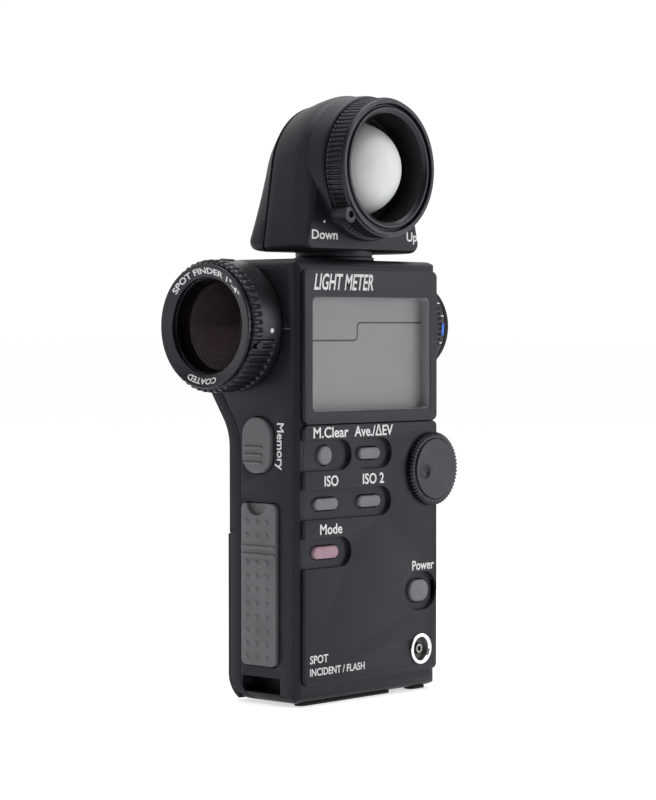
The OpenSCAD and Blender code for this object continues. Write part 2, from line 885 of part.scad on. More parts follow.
front_shell();
rear_shell();
display_bezel();
display_window();
lcd_baffle();
lcd_glass();
main_board();
board_chips();
key_switches();
side_board();
clear_button();
average_button();
iso_one_button();
iso_two_button();
mode_button();
power_button();
memory_button();
measuring_bar();
bar_pin();
jog_wheel();
jog_encoder();
sync_shell();
sync_insulator();
sync_contact();
tripod_bush();
base_feet();
case_screws();
battery_cell();
battery_contacts();
battery_cover();
battery_latch();
neck_collar();
swivel_shaft();
shaft_ring();
head_front_shell();
head_rear_shell();
head_screws();
dome_guard();
retracting_ring();
dome();
dome_carrier();
light_cell();
sensor_board();
lens_barrel();
objective_bezel();
objective_window();
objective_cell();
objective_lens();
zoom_ring();
zoom_carrier();
zoom_lens();
spot_tube();
prism();
spot_cell();
eyepiece_tube();
eyepiece_nut();
dioptre_ring();
eyepiece_cell();
eye_lens();
eye_cup();
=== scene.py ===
"""Handheld light meter: shown surfaces, finishes, printing, light and camera round its frame.

Lengths inside the functions are millimetres in the frame's own axes; meshes are written in metres.
"""
import json
import math

import bmesh
import bpy
import numpy as np
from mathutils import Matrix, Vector

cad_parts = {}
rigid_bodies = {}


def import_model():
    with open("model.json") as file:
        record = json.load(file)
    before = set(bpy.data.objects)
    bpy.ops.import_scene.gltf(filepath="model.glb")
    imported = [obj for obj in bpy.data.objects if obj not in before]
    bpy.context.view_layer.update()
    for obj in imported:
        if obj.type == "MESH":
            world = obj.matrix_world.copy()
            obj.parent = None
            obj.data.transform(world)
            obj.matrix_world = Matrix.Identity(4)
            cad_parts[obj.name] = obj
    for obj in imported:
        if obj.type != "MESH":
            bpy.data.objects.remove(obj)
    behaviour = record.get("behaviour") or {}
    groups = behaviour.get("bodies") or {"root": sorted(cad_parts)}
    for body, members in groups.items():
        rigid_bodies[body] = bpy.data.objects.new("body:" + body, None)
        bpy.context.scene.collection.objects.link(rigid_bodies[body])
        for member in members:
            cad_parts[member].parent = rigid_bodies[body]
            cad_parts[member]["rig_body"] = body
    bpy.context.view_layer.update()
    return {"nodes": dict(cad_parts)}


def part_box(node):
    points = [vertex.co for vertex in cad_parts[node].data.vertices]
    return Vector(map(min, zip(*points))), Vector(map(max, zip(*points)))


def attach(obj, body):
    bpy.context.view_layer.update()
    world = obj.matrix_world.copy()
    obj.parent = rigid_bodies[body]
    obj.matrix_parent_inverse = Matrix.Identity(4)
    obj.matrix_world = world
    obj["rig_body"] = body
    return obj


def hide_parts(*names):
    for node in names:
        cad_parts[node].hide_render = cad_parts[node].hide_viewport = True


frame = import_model()

MM = 0.001
TURN = 2 * math.pi

# ---- main measures, the same as the part's ----
HALF = 30.0            # half the body width
PLATE = -14.65         # front of the raised plate
AXIS_Y, AXIS_Z = 9.8, 105.1     # axis of the spot finder, along X
DOME_Z = 149.4         # height of the dome's axis, along Y
JOG_X, JOG_Z = 25.4, 64.0       # axis of the jog wheel, along Y
SYNC_X, SYNC_Z = 20.8, 12.2     # axis of the sync terminal, along Y

# ---- measures of the shown surfaces ----
JOG_RIBS, ZOOM_RIBS, DIOPTRE_RIBS, DOME_RING_RIBS = 60, 52, 56, 84
ZOOM_R = 18.46         # zoom ring over its ribs
DIOPTRE_R = 13.66      # dioptre ring over its ribs
MARK_R = 13.6          # radius on which the dioptre ring's marks are laid
BEZEL_X, BEZEL_R = -42.52, 16.95    # front edge of the lens bezel, where its sloped face starts
BEZEL_SLOPE = 0.334    # how far that face falls back for each millimetre inwards
PRINT_LIFT = 0.03      # printing on that face starts this far in front of it
HEAD_FACE = -11.65     # front of the head
CAP = 0.729            # capital height of the built-in font at size 1


# ---- finishes ------------------------------------------------------------

def new_tree(name):
    """A material with its node tree and its Principled shader."""
    mat = bpy.data.materials.new(name)
    mat.use_nodes = True
    return mat, mat.node_tree, mat.node_tree.nodes["Principled BSDF"]


def noise(tree, size_mm, detail=3.0):
    """Noise on Object coordinates whose patches are about size_mm across."""
    coord = tree.nodes.new("ShaderNodeTexCoord")
    tex = tree.nodes.new("ShaderNodeTexNoise")
    tex.inputs["Scale"].default_value = 1.0 / (size_mm * MM)
    tex.inputs["Detail"].default_value = detail
    tree.links.new(coord.outputs["Object"], tex.inputs["Vector"])
    return tex.outputs["Fac"]


def ramp(tree, value, stops):
    """Colour or grey from a value: stops are (place, (r, g, b))."""
    node = tree.nodes.new("ShaderNodeValToRGB")
    band = node.color_ramp
    band.elements[0].position, band.elements[1].position = stops[0][0], stops[-1][0]
    band.elements[0].color = (*stops[0][1], 1)
    band.elements[1].color = (*stops[-1][1], 1)
    for place, colour in stops[1:-1]:
        band.elements.new(place).color = (*colour, 1)
    tree.links.new(value, node.inputs["Fac"])
    return node.outputs["Color"]


def blend_colour(tree, share, under, over):
    """Colour mix of two sockets by a third."""
    node = tree.nodes.new("ShaderNodeMix")
    node.data_type = "RGBA"
    tree.links.new(share, node.inputs[0])
    tree.links.new(under, node.inputs[6])
    tree.links.new(over, node.inputs[7])
    return node.outputs[2]


def finish(name, colour, rough, metal=0.0, spec=0.5, mottle=0.12, mottle_mm=9.0,
           grain=0.12, grain_mm=0.3, worn=None, dust=0.0, coat=0.0, uneven=0.05, tint=None):
    """Moulded or turned finish: slow colour drift, uneven roughness and fine grain in the bump.
    worn is the colour of edges rubbed where the surface is convex, and dust adds pale specks."""
    mat, tree, shader = new_tree(name)
    low = tuple(c * (1 - mottle) for c in colour)
    high = tuple(min(1.0, c * (1 + mottle)) for c in colour)
    shade = ramp(tree, noise(tree, mottle_mm, 4.0), [(0.3, low), (0.7, high)])
    if worn is not None:
        geo = tree.nodes.new("ShaderNodeNewGeometry")
        edge = ramp(tree, geo.outputs["Pointiness"], [(0.515, (0, 0, 0)), (0.6, (1, 1, 1))])
        patch = ramp(tree, noise(tree, 3.0, 5.0), [(0.42, (0, 0, 0)), (0.7, (0.75, 0.75, 0.75))])
        both = tree.nodes.new("ShaderNodeMath")
        both.operation = "MULTIPLY"
        tree.links.new(edge, both.inputs[0])
        tree.links.new(patch, both.inputs[1])
        bare = ramp(tree, noise(tree, 1.2), [(0.3, worn), (0.7, tuple(c * 1.25 for c in worn))])
        shade = blend_colour(tree, both.outputs[0], shade, bare)
    if dust > 0:
        specks = ramp(tree, noise(tree, 0.55, 2.0), [(0.70, (0, 0, 0)), (0.80, (dust,) * 3)])
        pale = ramp(tree, noise(tree, 2.0), [(0, (0.28, 0.28, 0.29)), (1, (0.40, 0.39, 0.38))])
        shade = blend_colour(tree, specks, shade, pale)
    tree.links.new(shade, shader.inputs["Base Color"])
    gloss = ramp(tree, noise(tree, mottle_mm * 0.45, 5.0),
                 [(0.3, (max(rough - uneven, 0.0),) * 3), (0.7, (min(rough + uneven, 1.0),) * 3)])
    tree.links.new(gloss, shader.inputs["Roughness"])
    if grain > 0:
        bump = tree.nodes.new("ShaderNodeBump")
        bump.inputs["Strength"].default_value = grain
        bump.inputs["Distance"].default_value = 0.0001
        tree.links.new(noise(tree, grain_mm, 2.0), bump.inputs["Height"])
        tree.links.new(bump.outputs["Normal"], shader.inputs["Normal"])
    shader.inputs["Metallic"].default_value = metal
    shader.inputs["Specular IOR Level"].default_value = spec
    shader.inputs["Coat Weight"].default_value = coat
    if tint is not None:
        shader.inputs["Specular Tint"].default_value = (*tint, 1)
    return mat


def clear_pane(name, tint):
    """Thin coated clear pane: see-through, with a slow drift in its tint."""
    mat, tree, shader = new_tree(name)
    tree.nodes.remove(shader)
    through = tree.nodes.new("ShaderNodeBsdfTransparent")
    paler = tuple(min(1.0, c * 1.02) for c in tint)
    drift = ramp(tree, noise(tree, 12.0), [(0.3, tint), (0.7, paler)])
    tree.links.new(drift, through.inputs["Color"])
    tree.links.new(through.outputs[0], tree.nodes["Material Output"].inputs["Surface"])
    return mat


INK = (0.88, 0.86, 1.0)       # faint violet in the sheen of the black plastics
casing_black = finish("casing_black", (0.0072, 0.0069, 0.0092), 0.44, spec=0.27, tint=INK,
                      dust=0.08, grain=0.24, grain_mm=0.28, mottle=0.07, mottle_mm=22,
                      uneven=0.016)
panel_black = finish("panel_black", (0.0066, 0.0064, 0.0086), 0.38, spec=0.27, tint=INK,
                     dust=0.07, grain=0.16, grain_mm=0.25, mottle=0.07, mottle_mm=18, uneven=0.016)
ring_black = finish("ring_black", (0.0062, 0.0060, 0.0074), 0.36, spec=0.42, tint=INK,
                    worn=(0.06, 0.06, 0.066), dust=0.10, grain=0.15, grain_mm=0.2, mottle_mm=6)
bezel_black = finish("bezel_black", (0.0055, 0.0054, 0.0065), 0.30, spec=0.4, tint=INK,
                     grain=0.10, grain_mm=0.2, mottle_mm=6, dust=0.06)
baffle_black = finish("baffle_black", (0.005, 0.005, 0.0055), 0.5, spec=0.35, grain=0.15,
                      grain_mm=0.2, mottle_mm=4)
rubber = finish("eye_cup_rubber", (0.010, 0.010, 0.011), 0.72, spec=0.25, grain=0.4, grain_mm=0.35,
                mottle_mm=5, dust=0.2)
key_grey = finish("key_grey", (0.126, 0.126, 0.136), 0.46, spec=0.4, grain=0.2, grain_mm=0.3,
                  mottle=0.06, mottle_mm=3, worn=(0.24, 0.24, 0.25))
key_mauve = finish("key_mauve", (0.300, 0.180, 0.225), 0.46, spec=0.4, grain=0.2, grain_mm=0.3,
                   mottle=0.07, mottle_mm=3, worn=(0.42, 0.30, 0.34))
side_grey = finish("side_grey", (0.100, 0.101, 0.108), 0.55, spec=0.4, grain=0.45, grain_mm=0.32,
                   mottle=0.09, mottle_mm=7, dust=0.12)
white_print = finish("white_print", (0.62, 0.62, 0.62), 0.5, grain=0.05, mottle=0.07, mottle_mm=1.5)
blue_print = finish("blue_print", (0.015, 0.12, 0.62), 0.45, grain=0.05, mottle=0.15, mottle_mm=1.5)
lcd_grey = finish("lcd_grey", (0.222, 0.224, 0.228), 0.42, spec=0.3, grain=0.0, mottle=0.02,
                  mottle_mm=22, uneven=0.004)
lcd_line = finish("lcd_line", (0.02, 0.021, 0.022), 0.5, grain=0.0, mottle=0.1, mottle_mm=3)
frame_grey = finish("frame_grey", (0.105, 0.106, 0.112), 0.5, grain=0.1, mottle=0.08, mottle_mm=6)
reveal_grey = finish("reveal_grey", (0.20, 0.202, 0.21), 0.5, grain=0.1, mottle=0.06, mottle_mm=8)
chrome = finish("chrome", (0.80, 0.80, 0.82), 0.12, metal=1.0, grain=0.04, grain_mm=0.4,
                mottle=0.04, mottle_mm=3)
plated = finish("contact_plate", (0.30, 0.29, 0.27), 0.34, metal=1.0, grain=0.1, mottle=0.15,
               mottle_mm=1.5)
bronze = finish("terminal_bronze", (0.055, 0.05, 0.048), 0.42, metal=0.5, grain=0.1, mottle=0.2,
                mottle_mm=1.5)
steel = finish("screw_steel", (0.33, 0.33, 0.34), 0.34, metal=1.0, grain=0.15, mottle=0.1,
               mottle_mm=1.5)
dark_steel = finish("shaft_steel", (0.10, 0.10, 0.11), 0.4, metal=0.8, grain=0.1, mottle=0.1,
                    mottle_mm=3)
latch_grey = finish("latch_grey", (0.022, 0.022, 0.025), 0.5, grain=0.2, worn=(0.08, 0.08, 0.085),
                    mottle_mm=4)
board_green = finish("board_green", (0.02, 0.12, 0.055), 0.35, grain=0.1, mottle=0.2, mottle_mm=2)
chip_black = finish("chip_black", (0.012, 0.012, 0.013), 0.45, grain=0.2, mottle_mm=2)
cell_gold = finish("cell_wrap", (0.55, 0.40, 0.10), 0.3, metal=0.4, grain=0.05, mottle=0.1,
                   mottle_mm=8)
sensor_violet = finish("sensor_violet", (0.06, 0.03, 0.12), 0.12, grain=0.02, mottle=0.1,
                       mottle_mm=3)
switch_white = finish("switch_white", (0.5, 0.5, 0.5), 0.5, grain=0.1, mottle_mm=2)
lens_dark = finish("coated_lens", (0.010, 0.008, 0.014), 0.05, spec=0.6, grain=0.0, mottle=0.15,
                   mottle_mm=9, coat=0.4, uneven=0.003)

# front lens: a dark coating, with painted reflections of the lens's inner surfaces: faint rings
# about the finder's axis and a reddening to the middle
LENS_SPAN = 1 / (12.5 * MM)    # one unit is the lens radius
lens_red, lens_tree, lens_shader = new_tree("coated_front_lens")
lens_coord = lens_tree.nodes.new("ShaderNodeTexCoord")
lens_map = lens_tree.nodes.new("ShaderNodeMapping")
lens_map.inputs["Scale"].default_value = (0, LENS_SPAN, LENS_SPAN)
lens_map.inputs["Location"].default_value = (0, -AXIS_Y * MM * LENS_SPAN, -AXIS_Z * MM * LENS_SPAN)
lens_tree.links.new(lens_coord.outputs["Object"], lens_map.inputs["Vector"])
lens_reflection_rings = lens_tree.nodes.new("ShaderNodeTexWave")
lens_reflection_rings.wave_type = "RINGS"
lens_reflection_rings.rings_direction = "X"
lens_reflection_rings.inputs["Scale"].default_value = 4.4
lens_reflection_rings.inputs["Distortion"].default_value = 0.6
lens_reflection_glow = lens_tree.nodes.new("ShaderNodeTexGradient")
lens_reflection_glow.gradient_type = "SPHERICAL"
for tex in (lens_reflection_rings, lens_reflection_glow):
    lens_tree.links.new(lens_map.outputs["Vector"], tex.inputs["Vector"])
# base colour: painted reflections, rings that grow lighter and redder towards the middle
lens_tree.links.new(
    blend_colour(lens_tree,
                 ramp(lens_tree, lens_reflection_glow.outputs["Fac"], [(0.08, (0, 0, 0)), (0.42, (1, 1, 1))]),
                 ramp(lens_tree, lens_reflection_rings.outputs["Fac"],
                      [(0.1, (0.003, 0.003, 0.004)), (0.9, (0.006, 0.005, 0.007))]),
                 ramp(lens_tree, lens_reflection_rings.outputs["Fac"],
                      [(0.25, (0.010, 0.0065, 0.0075)), (0.9, (0.0165, 0.0115, 0.013))])),
    lens_shader.inputs["Base Color"])
lens_shader.inputs["Roughness"].default_value = 0.05
lens_shader.inputs["Specular IOR Level"].default_value = 0.22
lens_shader.inputs["Specular Tint"].default_value = (1.0, 0.75, 0.8, 1)
window_clear = clear_pane("display_window_clear", (0.97, 0.975, 0.975))
lens_window = clear_pane("lens_window_clear", (0.86, 0.84, 0.86))

dome_white, dome_tree, dome_shader = new_tree("dome_white")
dome_tree.links.new(
    ramp(dome_tree, noise(dome_tree, 6.0, 3.0),
         [(0.3, (0.62, 0.62, 0.615)), (0.7, (0.665, 0.665, 0.66))]),
    dome_shader.inputs["Base Color"])
dome_tree.links.new(
    ramp(dome_tree, noise(dome_tree, 1.5, 3.0), [(0.3, (0.42,) * 3), (0.7, (0.52,) * 3)]),
    dome_shader.inputs["Roughness"])
dome_shader.inputs["Subsurface Weight"].default_value = 0.25
dome_shader.inputs["Subsurface Scale"].default_value = 0.002


# ---- mesh helpers --------------------------------------------------------

def grid_quads(rows, cols, wrap_rows, wrap_cols):
    """Quads of a grid of points, with each direction closed on itself where asked."""
    i = np.arange(rows if wrap_rows else rows - 1)
    j = np.arange(cols if wrap_cols else cols - 1)
    i, j = np.meshgrid(i, j, indexing="ij")
    i2, j2 = (i + 1) % rows, (j + 1) % cols
    corners = [i * cols + j, i2 * cols + j, i2 * cols + j2, i * cols + j2]
    return np.stack(corners, -1).reshape(-1, 4)


def closed(me, sharp_deg):
    """Merges doubled points, turns every face outwards and shades smooth below an angle."""
    bm = bmesh.new()
    bm.from_mesh(me)
    bmesh.ops.remove_doubles(bm, verts=bm.verts, dist=2e-7)
    bmesh.ops.dissolve_degenerate(bm, edges=bm.edges, dist=1e-8)
    bmesh.ops.recalc_face_normals(bm, faces=bm.faces)
    bm.to_mesh(me)
    bm.free()
    me.shade_smooth()
    me.set_sharp_from_angle(angle=math.radians(sharp_deg))


def piece(name, me, mat, body, stands_for=(), slot=None):
    """Links a finished mesh as a piece that rides on a body."""
    ob = bpy.data.objects.new(name, me)
    bpy.context.scene.collection.objects.link(ob)
    me.materials.clear()
    me.materials.append(mat)
    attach(ob, body)
    if stands_for:
        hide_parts(*stands_for)
    return ob


def grid_piece(name, points, mat, body, wrap_rows=True, wrap_cols=True, sharp=38, **more):
    """A surface given as points[row, column, xyz], closed by its own wraps or poles."""
    rows, cols = points.shape[:2]
    me = bpy.data.meshes.new(name)
    quads = grid_quads(rows, cols, wrap_rows, wrap_cols)
    me.from_pydata((points.reshape(-1, 3) * MM).tolist(), [], quads.tolist())
    closed(me, sharp)
    return piece(name, me, mat, body, **more)


def eased(loop, r=0.25, k=5):
    """Closed profile with each corner replaced by a quadratic arc from r before it to r after."""
    p = np.asarray(loop, float)
    back, ahead = np.roll(p, 1, 0) - p, np.roll(p, -1, 0) - p
    lb = np.linalg.norm(back, axis=1, keepdims=True)
    la = np.linalg.norm(ahead, axis=1, keepdims=True)
    d = np.minimum(np.reshape(r, (-1, 1)), 0.46 * np.minimum(lb, la))
    a, b = p + back / lb * d, p + ahead / la * d
    t = np.linspace(0, 1, k)[None, :, None]
    arcs = (1 - t) ** 2 * a[:, None] + 2 * t * (1 - t) * p[:, None] + t ** 2 * b[:, None]
    return arcs.reshape(-1, 2)


def swept_round(along, radius, angle, axis, centre):
    """Points at a place along an axis, a radius and an angle about it.
    Axis x turns from +Y to +Z about (y, z), axis y from +X to +Z about (x, z), z from +X to +Y."""
    along, radius, angle = np.broadcast_arrays(along, radius, angle)
    a, b = centre[0] + radius * np.cos(angle), centre[1] + radius * np.sin(angle)
    order = {"x": (along, a, b), "y": (a, along, b), "z": (a, b, along)}[axis]
    return np.stack(order, -1)


def turned(name, loop, axis, centre, mat, body, n=128, relief=None, ease=0.2, sharp=38, **more):
    """A turned piece: a closed profile of (along, radius) carried round the axis.
    relief(angle, along, radius) is added to the radius, for ribs."""
    prof = eased(loop, ease) if np.any(np.asarray(ease) > 0) else np.asarray(loop, float)
    angle = np.linspace(0, TURN, n, endpoint=False)[:, None]
    along, radius = prof[None, :, 0], prof[None, :, 1]
    if relief is not None:
        radius = radius + relief(angle, along, radius)
    return grid_piece(name, swept_round(along, radius, angle, axis, centre), mat, body,
                      sharp=sharp, **more)


def window(x, lo, hi, soft):
    """1 between lo and hi, easing to 0 over soft on each side."""
    t = np.clip(np.minimum(x - lo, hi - x) / soft + 0.5, 0, 1)
    return t * t * (3 - 2 * t)


def ribs(angle, count, steep=2.2):
    """Square-shouldered wave from 0 to 1 with count crests round the turn."""
    return 0.5 + 0.5 * np.tanh(steep * np.cos(count * angle)) / math.tanh(steep)


WALL_CUTS = (48.8, 60.0, 84.2, 88.5)    # heights at which hollow-sided walls are cut level
EDGE_DEG = 32           # edges sharper than this are rounded


def dressed(node, mat, bevel, slot=None):
    """The shown skin of a CAD node: its triangles merged, its flat areas made whole, its
    hollow-sided walls cut level at a few heights so that they fill true, and its sharp edges
    rounded by the bevel's width."""
    me = frame["nodes"][node].data.copy()
    bm = bmesh.new()
    bm.from_mesh(me)
    bmesh.ops.remove_doubles(bm, verts=bm.verts, dist=2e-6)
    bmesh.ops.dissolve_limit(bm, angle_limit=math.radians(0.6), verts=bm.verts, edges=bm.edges)
    wide = [f for f in bm.faces if abs(f.normal.x) > 0.99 and len(f.verts) > 60]
    geom = list({*wide, *(e for f in wide for e in f.edges), *(v for f in wide for v in f.verts)})
    for z in WALL_CUTS:
        geom = bmesh.ops.bisect_plane(bm, geom=geom, dist=1e-7, plane_co=(0, 0, z * MM),
                                      plane_no=(0, 0, 1))["geom"]
    bm.to_mesh(me)
    bm.free()
    me.shade_smooth()
    ob = bpy.data.objects.new("raw_" + node, me)
    bpy.context.scene.collection.objects.link(ob)
    mod = ob.modifiers.new("edge", "BEVEL")
    mod.width = bevel * MM
    mod.segments = 3
    mod.limit_method = "ANGLE"
    mod.angle_limit = math.radians(EDGE_DEG)
    mod.use_clamp_overlap = False
    mod.loop_slide = False
    mod.miter_outer = "MITER_ARC"
    mod.harden_normals = True
    graph = bpy.context.evaluated_depsgraph_get()
    done = bpy.data.meshes.new_from_object(ob.evaluated_get(graph))
    bpy.data.objects.remove(ob)
    return piece(node + "_skin", done, mat, frame["nodes"][node]["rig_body"], stands_for=(node,),
                 slot=slot)


def coat_node(node, mat):
    """A CAD node that is shown as it is gets its finish."""
    me = frame["nodes"][node].data
    me.materials.clear()
    me.materials.append(mat)


def lettering(name, words, height, origin, across, up, mat, body, width=None, lean=0.0,
              thick=0.03, arc=None, weight=0.018):
    """Printed words as a thin raised film: a font outline made a mesh, then scaled to the capital
    height and to the width, and laid along the across and up directions from the origin.
    arc = (radius, first degree, degrees taken) bends it clockwise round the finder's bezel."""
    curve = bpy.data.curves.new(name, "FONT")
    curve.body = words
    curve.size = 1.0
    curve.resolution_u = 3
    curve.shear = lean
    curve.extrude = 0.5
    curve.offset = weight
    raw = bpy.data.objects.new(name + "_raw", curve)
    bpy.context.scene.collection.objects.link(raw)
    graph = bpy.context.evaluated_depsgraph_get()
    me = bpy.data.meshes.new_from_object(raw.evaluated_get(graph))
    bpy.data.objects.remove(raw)
    co = np.empty(len(me.vertices) * 3)
    me.vertices.foreach_get("co", co)
    co = co.reshape(-1, 3)
    rise = co[:, 1:2] * height / CAP
    along = (co[:, :1] - co[:, 0].min()) / (co[:, 0].max() - co[:, 0].min())
    if arc is None:
        u, v = np.asarray(across, float), np.asarray(up, float)
        at = (np.asarray(origin, float) + along * width * u + rise * v
              + co[:, 2:3] * thick * np.cross(u, v))
    else:
        r = arc[0] + rise
        turn = np.radians(arc[1] - along * arc[2])
        face = BEZEL_X + (BEZEL_R - r) * BEZEL_SLOPE - PRINT_LIFT
        at = np.concatenate([face + co[:, 2:3] * thick, AXIS_Y - r * np.cos(turn),
                             AXIS_Z + r * np.sin(turn)], 1)
    me.vertices.foreach_set("co", (at * MM).ravel())
    me.update()
    closed(me, 30)
    return piece(name, me, mat, body)


def oblong(name, at, across, up, w, h, rows, mat, body, n=20, **more):
    """A stadium-shaped pad: rows of (inset, height) stacked along across x up, from the first row's
    middle line to the last row's middle line."""
    half_turn = np.linspace(-math.pi / 2, math.pi / 2, n)
    angle = np.concatenate([half_turn, half_turn + math.pi])
    side = np.repeat([1.0, -1.0], n)
    rows = np.asarray(rows, float)
    rows = np.concatenate([[[h / 2, rows[0, 1]]], rows, [[h / 2, rows[-1, 1]]]])
    r = (h / 2 - rows[:, :1])
    x = side * (w - h) / 2 + r * np.cos(angle)
    y = r * np.sin(angle)
    u, v = np.asarray(across, float), np.asarray(up, float)
    out = np.cross(u, v)
    pts = (np.asarray(at, float) + x[..., None] * u + y[..., None] * v
           + np.broadcast_to(rows[:, 1:2], x.shape)[..., None] * out)
    return grid_piece(name, pts, mat, body, wrap_rows=False, **more)


def carried(name, path, loop, up, mat, body):
    """A closed cross-section carried along an open path, square to it, closed to a point at
    both ends."""
    path, loop, up = np.asarray(path, float), np.asarray(loop, float), np.asarray(up, float)
    ahead = np.gradient(path, axis=0)
    ahead /= np.linalg.norm(ahead, axis=1, keepdims=True)
    side = np.cross(ahead, up)
    side /= np.linalg.norm(side, axis=1, keepdims=True)
    pts = path[:, None] + loop[None, :, :1] * side[:, None] + loop[None, :, 1:] * up
    ends = np.repeat(path[[0, -1]][:, None], len(loop), axis=1)
    pts = np.concatenate([ends[:1], pts, ends[1:]])
    return grid_piece(name, pts, mat, body, wrap_rows=False)


def round_path(points, r, k=7):
    """Open path with its inner corners eased like eased() does."""
    p = np.asarray(points, float)
    mid = p[1:-1]
    back, ahead = p[:-2] - mid, p[2:] - mid
    lb = np.linalg.norm(back, axis=1, keepdims=True)
    la = np.linalg.norm(ahead, axis=1, keepdims=True)
    t = np.linspace(0, 1, k)[None, :, None]
    a, b = mid + back / lb * r, mid + ahead / la * r
    arcs = (1 - t) ** 2 * a[:, None] + 2 * t * (1 - t) * mid[:, None] + t ** 2 * b[:, None]
    return np.concatenate([p[:1], arcs.reshape(-1, 3), p[-1:]])


def softened(rows, rounds=3):
    """Open table of values with its corners cut at a quarter, several times over."""
    q = np.asarray(rows, float)
    for _ in range(rounds):
        a, b = 0.75 * q[:-1] + 0.25 * q[1:], 0.25 * q[:-1] + 0.75 * q[1:]
        q = np.concatenate([q[:1], np.stack([a, b], 1).reshape(-1, q.shape[1])[1:-1], q[-1:]])
    return q


X, Y, Z = (1.0, 0.0, 0.0), (0.0, 1.0, 0.0), (0.0, 0.0, 1.0)
DOWN, LEFT, FORWARD = (0.0, 0.0, -1.0), (-1.0, 0.0, 0.0), (0.0, -1.0, 0.0)
FINDER = (AXIS_Y, AXIS_Z)
HEAD = (0.0, DOME_Z)

# ---- casing --------------------------------------------------------------

dressed("front_shell", casing_black, 0.22, slot="casing")
dressed("rear_shell", casing_black, 0.25, slot="casing")
dressed("display_bezel", panel_black, 0.13)
dressed("battery_cover", casing_black, 0.25)
dressed("battery_latch", latch_grey, 0.12)
dressed("base_feet", rubber, 0.15)
dressed("measuring_bar", side_grey, 0.14)
dressed("memory_button", side_grey, 0.16)
dressed("neck_collar", casing_black, 0.15)

for node, mat in {
        "display_window": window_clear, "lcd_baffle": frame_grey, "lcd_glass": lcd_grey,
        "main_board": board_green, "board_chips": chip_black, "key_switches": switch_white,
        "side_board": board_green, "bar_pin": steel, "jog_encoder": chip_black,
        "tripod_bush": steel, "case_screws": steel, "battery_cell": cell_gold,
        "battery_contacts": steel, "swivel_shaft": dark_steel, "shaft_ring": dark_steel,
        "head_screws": steel, "dome_carrier": baffle_black, "light_cell": sensor_violet,
        "sensor_board": board_green, "lens_barrel": baffle_black, "zoom_carrier": baffle_black,
        "zoom_lens": lens_dark, "spot_tube": baffle_black, "prism": lens_dark,
        "spot_cell": sensor_violet, "eyepiece_nut": dark_steel, "eyepiece_cell": baffle_black,
        "objective_window": lens_window}.items():
    coat_node(node, mat)

# ---- display -------------------------------------------------------------

LCD_Y = -11.3
step_line = round_path([(-26.4, LCD_Y, 101.1), (-2.65, LCD_Y, 101.1), (-2.65, LCD_Y, 106.1),
                        (26.9, LCD_Y, 106.1)], 1.6)
carried("lcd_step_line", step_line, [(-0.22, -0.02), (0.22, -0.02), (0.22, 0.03), (-0.22, 0.03)],
        FORWARD, lcd_line, "body")


def rounded_box(x0, z0, x1, z1, r, inset=0.0, n=9):
    """Rounded rectangle in the XZ plane, shrunk by an inset, as points[place, (x, z)]."""
    r = max(r - inset, 0.05)
    x0, z0, x1, z1 = x0 + inset, z0 + inset, x1 - inset, z1 - inset
    turn = np.linspace(0, math.pi / 2, n)
    parts = []
    for k, (cx, cz) in enumerate([(x1 - r, z1 - r), (x0 + r, z1 - r), (x0 + r, z0 + r),
                                  (x1 - r, z0 + r)]):
        a = turn + k * math.pi / 2
        parts.append(np.stack([cx + r * np.cos(a), cz + r * np.sin(a)], -1))
    return np.concatenate(parts)


DISPLAY = (-24.6, 81.44, 25.05, 113.2)   # left, foot, right and top of the display's opening
reveal = []
for inset, y in ((-0.05, -14.45), (0.10, -14.52), (0.16, -14.4), (0.16, -11.34), (-0.05, -11.34)):
    ring = rounded_box(*DISPLAY, 1.5, inset)
    reveal.append(np.stack([ring[:, 0], np.full(len(ring), y), ring[:, 1]], -1))
grid_piece("display_reveal", np.stack(reveal), reveal_grey, "body")

# ---- keys and jog wheel --------------------------------------------------

KEY_ROWS = [(0.0, 10.6), (0.0, 13.62), (0.05, 13.86), (0.17, 14.06), (0.36, 14.19), (0.7, 14.24),
            (1.1, 14.25)]
for label, x, z, w, h, mat, body, node in [
        ("key_clear", -18.85, 69.3, 5.41, 5.4, key_grey, "clear_key", "clear_button"),
        ("key_average", -0.4, 69.3, 9.0, 3.3, key_grey, "average_key", "average_button"),
        ("key_iso_one", -18.4, 55.8, 9.6, 3.3, key_grey, "iso_one_key", "iso_one_button"),
        ("key_iso_two", -0.4, 55.8, 9.4, 3.3, key_grey, "iso_two_key", "iso_two_button"),
        ("key_mode", -18.6, 42.4, 10.2, 3.5, key_mauve, "mode_key", "mode_button"),
        ("key_power", 21.0, 28.95, 8.4, 6.4, key_grey, "power_key", "power_button")]:
    oblong(label, (x, 0, z), X, Z, w, h, KEY_ROWS, mat, body, stands_for=(node,))

JOG_N = 480
face = np.stack([np.full(36, -16.9), np.linspace(8.35, 0.0, 36)], 1)
jog_loop = np.concatenate([
    eased([(-14.87, 0.3), (-14.87, 10.1), (-15.9, 10.1), (-16.42, 9.35), (-16.44, 8.95),
           (-16.25, 8.83), (-16.25, 8.66), (-16.9, 8.55), (-16.9, 8.38)], 0.14, 4)[:-4],
    face, [(-14.87, 0.0)]])
jog_angle = np.linspace(0, TURN, JOG_N, endpoint=False)[:, None]
jog_out, jog_r = jog_loop[None, :, 0], jog_loop[None, :, 1]
jog_rim = 0.5 * ribs(jog_angle, JOG_RIBS, 3.0) * (jog_r > 9.3) * (jog_r < 10.15)
jog = swept_round(jog_out, jog_r + jog_rim, jog_angle, "y", (JOG_X, JOG_Z))
DISH_X, DISH_Z, DISH_R = JOG_X - 5.0, JOG_Z - 0.6, 2.25    # finger dish in the wheel's face
DISH_DEPTH = 0.75
dish = np.hypot(jog[..., 0] - DISH_X, jog[..., 2] - DISH_Z) / DISH_R
jog[..., 1] += np.where(jog[..., 1] < -16.6,
                        DISH_DEPTH * np.clip(1 - dish ** 2, 0, None) ** 0.8, 0)
grid_piece("jog_wheel_skin", jog, ring_black, "jog", stands_for=("jog_wheel",))

